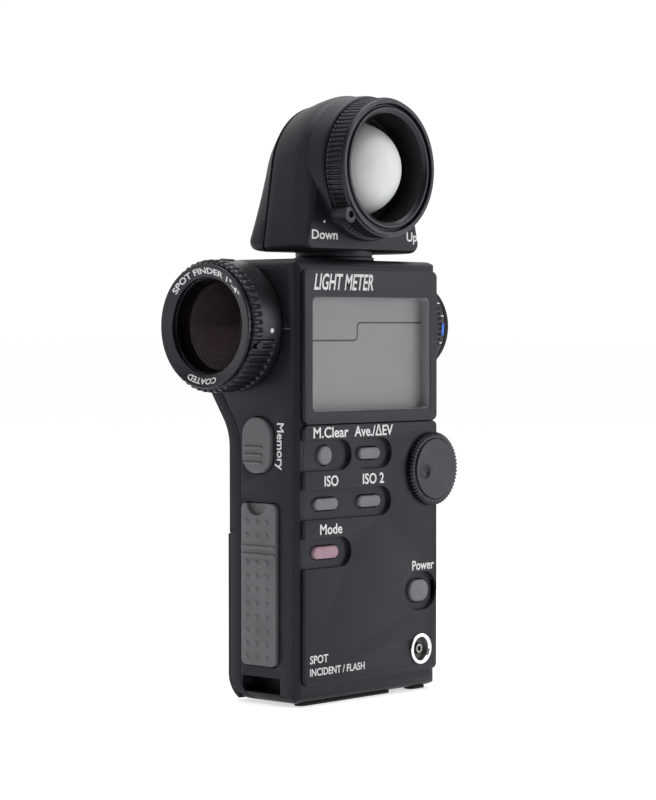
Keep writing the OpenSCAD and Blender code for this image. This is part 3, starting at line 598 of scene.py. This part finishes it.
# raised ribs of the side button and of the hinged bar
RIB = [(0.0, -0.1), (0.0, 0.16), (0.10, 0.34), (0.26, 0.46), (0.38, 0.48)]
for k, z in enumerate((71.5, 69.35, 67.2)):
    oblong(f"memory_rib_{k}", (-31.15, 2.05, z), Y, DOWN, 7.2, 0.9, RIB, side_grey, "memory_key",
           n=10)
for k, z in enumerate((43.75, 41.55)):
    oblong(f"bar_rib_{k}", (-31.05, 0.18, z), Y, DOWN, 12.9, 1.15, RIB, side_grey, "bar", n=10)

# ---- sync terminal -------------------------------------------------------

turned("sync_ring", [(-9.5, 3.2), (-9.5, 4.2), (-14.6, 4.2), (-14.6, 4.5), (-15.3, 4.42),
                     (-15.35, 3.5), (-14.9, 3.22), (-11.4, 3.2)], "y", (SYNC_X, SYNC_Z),
       chrome, "body", n=72, ease=0.18, stands_for=("sync_shell",))
turned("sync_sleeve", [(-11.2, 1.35), (-11.2, 3.17), (-13.4, 3.17), (-13.6, 2.6), (-13.6, 1.8),
                       (-13.2, 1.36)], "y", (SYNC_X, SYNC_Z), bronze, "body", n=56, ease=0.12,
       stands_for=("sync_insulator",))
turned("sync_pin", [(-9.0, 0.0), (-9.0, 1.32), (-14.4, 1.3), (-14.4, 0.72), (-12.0, 0.7),
                    (-11.6, 0.0)], "y", (SYNC_X, SYNC_Z), plated, "body", n=40, ease=0.1,
       stands_for=("sync_contact",))

# ---- spot finder ---------------------------------------------------------

turned("objective_bezel_skin",
       [(-41.05, 16.7), (-41.4, 17.2), (-42.3, 17.25), (BEZEL_X, BEZEL_R), (-41.45, 13.75),
        (-41.3, 13.55), (-40.2, 13.5), (-40.2, 13.1), (-38.6, 13.0), (-38.6, 15.1),
        (-41.0, 15.1)], "x", FINDER, bezel_black, "body", n=160,
       ease=0.12, stands_for=("objective_bezel",))

ZOOM_N = ZOOM_RIBS * 12
zoom_out = np.linspace(-40.62, -30.62, 61)
zoom_loop = np.concatenate([
    [(-30.36, 16.5), (-30.36, 18.1), (-30.45, 18.32)],
    np.stack([zoom_out[::-1], np.full(61, ZOOM_R)], 1),
    [(-40.85, 18.3), (-40.92, 18.0), (-40.92, 16.5)]])


def zoom_relief(angle, along, radius):
    """Ribs as grooves cut 0.74 deep: short ones by the front edge all round, long ones to the
    smooth band over the lower part."""
    deg = np.degrees(angle) % 360
    reach = np.where((deg > 189.5) & (deg < 348), -32.85, -38.35)
    cut = window(along, -42.5, reach, 0.45) * (radius > 17.9)
    front = window(along, -42.5, -40.3, 0.5)
    return -0.74 * cut * (1 - ribs(angle, ZOOM_RIBS, 2.6)) - 0.12 * front * (radius > 17.9)


turned("zoom_ring_skin", zoom_loop, "x", FINDER, ring_black, "zoom", n=ZOOM_N, ease=0.0,
       relief=zoom_relief, stands_for=("zoom_ring",), sharp=40)


def on_finder(x, deg, r):
    """Point on the finder at a place along X, an angle from +Y towards +Z and a radius."""
    a = math.radians(deg)
    return np.array([x, AXIS_Y + r * math.cos(a), AXIS_Z + r * math.sin(a)])


def finder_frame(deg):
    """Directions along X and round the finder, whose cross product points outwards."""
    a = math.radians(deg)
    return LEFT, (0.0, math.sin(a), -math.cos(a))


FILM = [(0.0, -0.05), (0.0, 0.02), (0.06, 0.05)]
run_x, run_round = finder_frame(183.8)
oblong("zoom_index_dot", on_finder(-34.5, 183.8, ZOOM_R), run_x, run_round, 1.35, 1.34, FILM,
       white_print, "zoom", n=14)
star = np.linspace(0, TURN, 96, endpoint=False)[None, :]
star_r = np.array([0.0, 1.0, 1.0, 0.86, 0.0])[:, None] * (1.1 + 0.2 * np.cos(8 * star))
run_x, run_round = (np.array(v) for v in finder_frame(196.5))
star_h = np.array([-0.5, -0.5, 0.1, 0.2, 0.24])[:, None]
star_out = np.cross(run_x, run_round)
star_pts = (on_finder(-39.0, 196.5, ZOOM_R) + (star_r * np.cos(star))[..., None] * run_x
            + (star_r * np.sin(star))[..., None] * run_round
            + (star_h + 0 * star)[..., None] * star_out)
grid_piece("zoom_rosette", star_pts, bezel_black, "zoom", wrap_rows=False)
run_x, run_round = finder_frame(97.0)
oblong("zoom_top_mark", on_finder(-35.6, 97.0, ZOOM_R), run_x, run_round, 4.6, 2.7,
       [(0.0, -0.3), (0.0, 0.1), (0.12, 0.22), (0.55, 0.22), (0.65, 0.05), (0.9, 0.02)],
       bezel_black, "zoom", n=24)

# ridged baffle and lens inside the front bezel
steps = np.arange(0, 9)
cone_r, cone_x = 14.4 - 0.42 * steps, -38.4 + 0.34 * steps
teeth = np.stack([np.stack([cone_x, cone_r], 1), np.stack([cone_x, cone_r - 0.42], 1)], 1)
turned("objective_baffle", np.concatenate([[(-33.9, 10.65), (-33.9, 15.1), (-38.45, 15.1)],
                                          teeth.reshape(-1, 2)]), "x", FINDER,
       baffle_black, "body", n=128, ease=0.05, stands_for=("objective_cell",))


def lens_loop(x_front, x_back, r, sag, k=26):
    """Closed profile of a lens: a front face bulging by sag, an edge and a flat back."""
    rr = np.linspace(0, r, k)
    front = np.stack([x_front + sag * (rr / r) ** 2, rr], 1)
    back = np.stack([np.full(k, x_back), rr[::-1]], 1)
    return np.concatenate([front, back])


turned("front_lens_glass", lens_loop(-39.7, -37.3, 12.4, 1.3), "x", FINDER, lens_red, "body", n=96,
       ease=0.0, stands_for=("objective_lens",))
turned("eye_lens_glass", lens_loop(36.85, 33.3, 7.45, -1.2), "x", FINDER, lens_dark, "eye_group",
       n=72, ease=0.0, stands_for=("eye_lens",))

turned("eyepiece_base", [(26.4, 9.7), (26.4, 11.15), (30.0, 11.15), (30.0, 12.6), (37.5, 12.6),
                         (37.55, 11.15), (44.9, 11.15), (44.9, 9.7)], "x", FINDER, casing_black,
       "body", n=128, ease=0.2, stands_for=("eyepiece_tube",))
EYE_N = DIOPTRE_RIBS * 9
eye_out = np.linspace(38.1, 44.3, 40)
eye_loop = np.concatenate([[(37.72, 11.3), (37.72, 13.1), (37.85, 13.4)],
                           np.stack([eye_out, np.full(40, DIOPTRE_R)], 1),
                           [(44.6, 13.5), (44.78, 13.2), (44.78, 11.3)]])
turned("dioptre_ring_skin", eye_loop, "x", FINDER, ring_black, "dioptre", n=EYE_N, ease=0.0,
       relief=lambda angle, along, radius: -0.5 * window(along, 38.6, 43.0, 0.5)
       * (1 - ribs(angle, DIOPTRE_RIBS)) * (radius > 13.55),
       stands_for=("dioptre_ring",), sharp=50)
turned("eye_cup_skin", [(44.95, 9.7), (44.95, 13.1), (45.5, 13.4), (46.6, 13.35), (47.3, 12.7),
                        (47.3, 11.9), (46.4, 10.6), (45.6, 9.7)], "x", FINDER, rubber, "body",
       n=128, ease=0.35, stands_for=("eye_cup",))
run_x, run_round = finder_frame(184.0)
oblong("dioptre_blue_mark", on_finder(43.75, 184.0, MARK_R), run_round, tuple(-c for c in run_x),
       3.7, 1.0, [(0.0, -0.1), (0.0, 0.06), (0.08, 0.1)], blue_print, "dioptre")
for k, deg in enumerate((150.0, 167.0, 201.0, 218.0)):
    run_x, run_round = finder_frame(deg)
    oblong(f"dioptre_tick_{k}", on_finder(43.8, deg, MARK_R), run_x, run_round, 1.2, 0.4,
           [(0.0, -0.1), (0.0, 0.06), (0.05, 0.09)], white_print, "dioptre", n=8)

# ---- head ----------------------------------------------------------------

CORNER = 2.0
HEAD_SEAM = (20.35, 23.8, 125.9, 147.5)
HEAD_FRONT = [(HEAD_FACE, 17.5, 23.1, 126.8, 149.4), (-10.6, 19.2, 23.8, 126.1, 149.4),
              (-7.0, 21.2, 24.0, 125.9, 149.4), (-1.0, 20.9, 23.9, 125.9, 148.6),
              (4.5, *HEAD_SEAM)]
REAR_Y, BACK_Y = 5.5, 10.35          # front edge and back of the rear half
HEAD_REAR = [(REAR_Y, *HEAD_SEAM), (8.6, 19.2, 23.3, 126.3, 145.0),
             (9.9, 17.8, 22.6, 126.9, 143.4), (BACK_Y, 16.2, 21.6, 127.8, 142.2)]
HEAD_MID_Z = 142.0      # height at which the head's faces close on its middle plane
WELL_R = 17.15          # opening of the head round the dome
HEEL = 2.0              # how far the foot of the head's back stands behind its top
HEEL_TOP, HEEL_RISE = 148.0, 22.0    # height at which the heel starts, and over which it grows
SCREW_X, SCREW_Z = 18.8, 133.4       # screw wells in the head's back


def head_outline(rows, inset=0.0, n=26):
    """Outlines of the head as rows of (y, arch radius, half width, foot, arch middle): foot line,
    foot corner, tangent line and arch on the right, then the same mirrored.
    Points[row, place, xyz]."""
    y, r, w, z0, mid = (np.asarray(rows, float).T[:, :, None])
    r, w, z0 = r - inset, w - inset, z0 + inset
    cx, cz = w - CORNER, z0 + CORNER
    dx, dz = cx, cz - mid
    lean = np.arctan2(dz, dx) + np.arccos((r - CORNER) / np.hypot(dx, dz))
    t = np.linspace(0, 1, n)[None, :]
    foot = np.stack(np.broadcast_arrays(cx * t, z0), -1)
    turn = -math.pi / 2 + (lean + math.pi / 2) * t
    corner = np.stack([cx + CORNER * np.cos(turn), cz + CORNER * np.sin(turn)], -1)
    side_a = np.stack([cx + CORNER * np.cos(lean), cz + CORNER * np.sin(lean)], -1)
    side_b = np.stack([r * np.cos(lean), mid + r * np.sin(lean)], -1)
    side = side_a + (side_b - side_a) * t[..., None]
    sweep = lean + (math.pi / 2 - lean) * t
    arch = np.stack([r * np.cos(sweep), mid + r * np.sin(sweep)], -1)
    right = np.concatenate([foot[:, :-1], corner[:, :-1], side[:, :-1], arch], 1)
    left = right[:, 1:-1][:, ::-1] * (-1, 1)
    flat = np.concatenate([right, left], 1)
    return np.stack([flat[..., 0], np.broadcast_to(y, flat.shape[:2]), flat[..., 1]], -1)


def to_circle(ring, r, y):
    """Ring of points moved onto a circle about the dome axis, each on its own ray."""
    ray = ring[:, [0, 2]] - np.array(HEAD)
    ray = ray / np.linalg.norm(ray, axis=1, keepdims=True) * r
    return np.stack([ray[:, 0], np.full(len(ray), float(y)), ray[:, 1] + DOME_Z], -1)


front_rows = head_outline(softened(HEAD_FRONT[::-1], 3))
seam_front = head_outline([(4.95, *HEAD_SEAM)], 0.8)
seam_lip = head_outline([(4.7, *HEAD_SEAM)], 0.08)
rim = front_rows[-1]
face_in = [rim + (to_circle(rim, WELL_R, HEAD_FACE) - rim) * t for t in (0.15, 0.4, 0.7, 1.0)]
well = [to_circle(rim, r, y) for r, y in ((WELL_R, -8.4), (15.4, -8.4), (15.4, 1.2), (0.01, 1.2))]
heart = np.repeat([[0.0, 5.0, HEAD_MID_Z]], rim.shape[0], axis=0)
head_front = np.stack([heart, seam_front[0], seam_lip[0], *front_rows, *face_in, *well])
grid_piece("head_front_skin", head_front, casing_black, "head", wrap_rows=False, sharp=30,
           stands_for=("head_front_shell",))
rear_rows = head_outline(softened(HEAD_REAR, 3))
drop = np.clip((HEEL_TOP - rear_rows[..., 2]) / HEEL_RISE, 0, 1)
rear_rows[..., 1] += HEEL * drop * np.clip((rear_rows[..., 1] - REAR_Y) / (BACK_Y - REAR_Y), 0, 1)
rear_lip = head_outline([(5.3, *HEAD_SEAM)], 0.08)
rear_seam = head_outline([(5.0, *HEAD_SEAM)], 0.8)
back_mid = np.array([0.0, BACK_Y + HEEL * (HEEL_TOP - HEAD_MID_Z) / HEEL_RISE, HEAD_MID_Z])
back_face = [rear_rows[-1] + (back_mid - rear_rows[-1]) * t for t in (0.1, 0.4, 0.7, 1.0)]
head_rear = np.stack([heart, rear_seam[0], rear_lip[0], *rear_rows, *back_face])
rear_skin = grid_piece("head_rear_skin", head_rear, casing_black, "head", wrap_rows=False,
                       sharp=30, stands_for=("head_rear_shell",))


def sink(ob, x, z, y0, y1, r):
    """Cuts a round well along Y into a closed piece."""
    bpy.ops.mesh.primitive_cylinder_add(vertices=40, radius=r * MM, depth=(y1 - y0) * MM,
                                        location=(x * MM, (y0 + y1) / 2 * MM, z * MM),
                                        rotation=(math.pi / 2, 0, 0))
    tool = bpy.context.object
    mod = ob.modifiers.new("well", "BOOLEAN")
    mod.operation, mod.solver, mod.object = "DIFFERENCE", "EXACT", tool
    graph = bpy.context.evaluated_depsgraph_get()
    cut = bpy.data.meshes.new_from_object(ob.evaluated_get(graph))
    ob.modifiers.clear()
    ob.data = cut
    bpy.data.objects.remove(tool)


for side in (-1, 1):
    sink(rear_skin, side * SCREW_X, SCREW_Z, 7.6, 16.0, 1.9)
rear_skin.data.set_sharp_from_angle(angle=math.radians(30))

turned("head_boss", [(-6.6, 17.2), (-6.6, 20.4), (-13.7, 20.4), (-14.5, 19.85), (-14.5, 17.2)],
       "y", HEAD, casing_black, "head", n=192, ease=0.45)
turned("head_neck", [(124.7, 7.1), (124.7, 10.9), (125.3, 11.0), (126.4, 11.0), (126.4, 7.1)],
       "z", (0.0, 0.0), casing_black, "head", n=96, ease=0.12)
turned("dome_guard_skin", [(-8.5, 15.3), (-8.5, 17.05), (-19.6, 17.05), (-19.7, 17.7),
                           (-20.4, 17.7), (-20.5, 17.1), (-21.1, 16.9), (-21.15, 16.3),
                           (-20.3, 15.25), (-17.0, 15.2)], "y", HEAD, bezel_black, "head", n=160,
       ease=0.16, stands_for=("dome_guard",))

RING_N = DOME_RING_RIBS * 8
ring_out = np.linspace(-14.95, -20.3, 34)
ring_loop = np.concatenate([
    [(-14.62, 17.2), (-14.62, 18.9), (-14.75, 19.2)],
    np.stack([ring_out, np.full(34, 19.58)], 1),
    eased([(-20.45, 19.3), (-20.55, 19.1), (-21.3, 19.1), (-21.3, 17.95), (-20.5, 17.9),
           (-19.62, 17.9)], 0.2, 5)[2:-2],
    [(-19.62, 17.2)]])
turned("retracting_ring_skin", ring_loop, "y", HEAD, ring_black, "dome_ring", n=RING_N, ease=0.0,
       relief=lambda angle, along, radius: -0.6 * window(along, -20.2, -15.1, 0.35)
       * (1 - ribs(angle, DOME_RING_RIBS, 3.0)) * (radius > 19.45),
       stands_for=("retracting_ring",), sharp=50)
turned("ring_lobe", [(-15.2, 0.0), (-15.2, 2.35), (-20.7, 2.35), (-20.9, 0.95), (-19.6, 0.85),
                     (-19.6, 0.0)], "y", (-15.7, 135.9), ring_black, "dome_ring", n=56, ease=0.25)

# the dome: two half circles about its rim's middle, and the flange behind the rim
DOME_RIM, DOME_R, DOME_IN_R = -8.0, 13.2, 11.9
bow = np.linspace(0, math.pi / 2, 40)
dome_out = np.stack([DOME_RIM - DOME_R * np.cos(bow), DOME_R * np.sin(bow)], 1)
dome_in = np.stack([DOME_RIM - DOME_IN_R * np.cos(bow[::-1]), DOME_IN_R * np.sin(bow[::-1])], 1)
flange = [(DOME_RIM, 14.15), (-7.02, 14.15), (-7.02, 11.85)]
turned("dome_skin", np.concatenate([dome_out, flange, dome_in]), "y", HEAD, dome_white,
       "diffuser", n=128, ease=0.0, stands_for=("dome",))

# ---- printing ------------------------------------------------------------

FRONT_PRINT = PLATE - 0.01
HEAD_PRINT = HEAD_FACE - 0.01


def front_print(name, words, left, base, width, height, body="body", y=FRONT_PRINT, **more):
    """Words across a face that looks forward."""
    return lettering(name, words, height, (left, y, base), X, Z, white_print, body, width=width,
                     **more)


front_print("print_title", "LIGHT METER", -24.1, 115.2, 24.4, 4.6, lean=0.27, weight=0.016)
front_print("print_clear", "M.Clear", -24.4, 74.3, 14.4, 3.0)
front_print("print_average", "Ave./ΔEV", -7.5, 74.3, 16.3, 3.0)
front_print("print_iso", "ISO", -19.9, 60.8, 5.7, 3.0)
front_print("print_iso_two", "ISO 2", -4.0, 60.8, 9.0, 3.0)
front_print("print_mode", "Mode", -21.7, 47.5, 9.1, 2.9)
front_print("print_power", "Power", 17.3, 35.0, 9.6, 2.8)
front_print("print_foot_one", "SPOT", -25.8, 12.0, 7.4, 2.3)
front_print("print_foot_two", "INCIDENT / FLASH", -25.8, 8.6, 22.6, 2.1)
front_print("print_down", "Down", -21.8, 129.3, 10.6, 2.65, "head", HEAD_PRINT)
front_print("print_up", "Up", 18.2, 129.5, 4.6, 2.65, "head", HEAD_PRINT)
for k, x in enumerate((-16.7, 16.7)):
    oblong(f"print_ring_dot_{k}", (x, HEAD_FACE, 134.1), X, Z, 0.8, 0.79, FILM, white_print, "head",
           n=10)
lettering("print_memory", "Memory", 2.6, (-HALF - 0.01, -6.2, 78.4), DOWN, FORWARD, white_print,
          "body", width=13.0)
oblong("finder_index_tick", (-HALF, -9.85, 104.4), Y, DOWN, 2.9, 0.26,
       [(0.0, -0.05), (0.0, 0.02), (0.05, 0.04)], side_grey, "body", n=8)
lettering("print_finder", "SPOT FINDER 1°-4°", 1.65, (0, 0, 0), X, Y, white_print,
          "body", arc=(14.55, 143.0, 110.0), thick=0.06)
lettering("print_finder_low", "COATED", 1.65, (0, 0, 0), X, Y, white_print, "body",
          arc=(14.55, 286.0, 42.0), thick=0.06)

# ---- floor, light and camera ---------------------------------------------

floor_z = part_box("tripod_bush")[0].z


def pale(name, colour, glow):
    """Pale seamless paper: slight drift in tone, and a glow that keeps it even far away."""
    mat, tree, shader = new_tree(name)
    paler = tuple(c * 1.01 for c in colour)
    tone = ramp(tree, noise(tree, 300.0, 1.0), [(0.3, colour), (0.7, paler)])
    tree.links.new(tone, shader.inputs["Base Color"])
    shader.inputs["Roughness"].default_value = 0.6
    shader.inputs["Specular IOR Level"].default_value = 0.0
    shader.inputs["Emission Color"].default_value = (1, 1, 1, 1)
    shader.inputs["Emission Strength"].default_value = glow
    return mat


def plane_piece(name, corners, mat):
    """A flat stage piece from its corners."""
    me = bpy.data.meshes.new(name)
    me.from_pydata(corners, [], [tuple(range(len(corners)))])
    ob = bpy.data.objects.new(name, me)
    bpy.context.scene.collection.objects.link(ob)
    me.materials.append(mat)


REACH = 14.0            # metres from the middle of the floor to its sides
plane_piece("floor", [(-REACH, -REACH, floor_z), (REACH, -REACH, floor_z), (REACH, REACH, floor_z),
                      (-REACH, REACH, floor_z)], pale("floor_paper", (0.60, 0.60, 0.61), 0.62))

# surroundings: white where the camera sees them, and as a light dim behind the camera and
# bright ahead of it
LEVEL_VIEW = (0.737, 0.675, 0.0)     # the camera's direction, laid level
world = bpy.data.worlds.new("studio")
bpy.context.scene.world = world
world.use_nodes = True
sky = world.node_tree
back = sky.nodes["Background"]
place = sky.nodes.new("ShaderNodeTexCoord")
split = sky.nodes.new("ShaderNodeSeparateXYZ")
sky.links.new(place.outputs["Generated"], split.inputs["Vector"])
ahead = sky.nodes.new("ShaderNodeVectorMath")
ahead.operation = "DOT_PRODUCT"
ahead.inputs[1].default_value = LEVEL_VIEW
sky.links.new(place.outputs["Generated"], ahead.inputs[0])
scale = sky.nodes.new("ShaderNodeMapRange")
scale.inputs["From Min"].default_value = -0.6
scale.inputs["From Max"].default_value = 0.55
scale.inputs["To Min"].default_value = 0.15
scale.inputs["To Max"].default_value = 1.04
sky.links.new(ahead.outputs["Value"], scale.inputs["Value"])
seen = sky.nodes.new("ShaderNodeLightPath")
bright = sky.nodes.new("ShaderNodeMath")
bright.operation = "MAXIMUM"
sky.links.new(seen.outputs["Is Camera Ray"], bright.inputs[0])
sky.links.new(scale.outputs["Result"], bright.inputs[1])
sky.links.new(bright.outputs[0], back.inputs["Strength"])
back.inputs["Color"].default_value = (0.995, 0.995, 1.0, 1)


def soft_light(name, at, to, size, power):
    """A large soft area light at a place in metres, facing another."""
    data = bpy.data.lights.new(name, "AREA")
    data.shape = "RECTANGLE"
    data.size, data.size_y = size
    data.energy = power
    ob = bpy.data.objects.new(name, data)
    bpy.context.scene.collection.objects.link(ob)
    ob.location = at
    ob.rotation_euler = (Vector(to) - Vector(at)).to_track_quat("-Z", "Y").to_euler()


soft_light("top_box", (0.05, 0.0, 0.75), (0, 0, 0.1), (0.7, 0.7), 5.2)
soft_light("front_box", (0.55, -0.75, 0.15), (0, 0, 0.08), (0.6, 0.8), 3.6)
soft_light("lens_side_box", (-0.9, 0.15, 0.35), (0, 0, 0.1), (0.5, 0.7), 1.2)

LENS_MM = 117.626
SENSOR_MM = 36.0
CAMERA_AT = (-0.55129, -0.50310, 0.10455)      # metres
CAMERA_VIEW = (0.73685, 0.67550, -0.02749)     # direction it looks in
camera_data = bpy.data.cameras.new("camera")
camera_data.lens = LENS_MM
camera_data.sensor_fit = "VERTICAL"
camera_data.sensor_height = SENSOR_MM
camera_data.sensor_width = SENSOR_MM
camera_data.clip_start, camera_data.clip_end = 0.05, 30.0
camera = bpy.data.objects.new("camera", camera_data)
bpy.context.scene.collection.objects.link(camera)
camera.location = CAMERA_AT
camera.rotation_euler = Vector(CAMERA_VIEW).to_track_quat("-Z", "Y").to_euler()
bpy.context.scene.camera = camera
bpy.context.scene.view_settings.view_transform = "Standard"
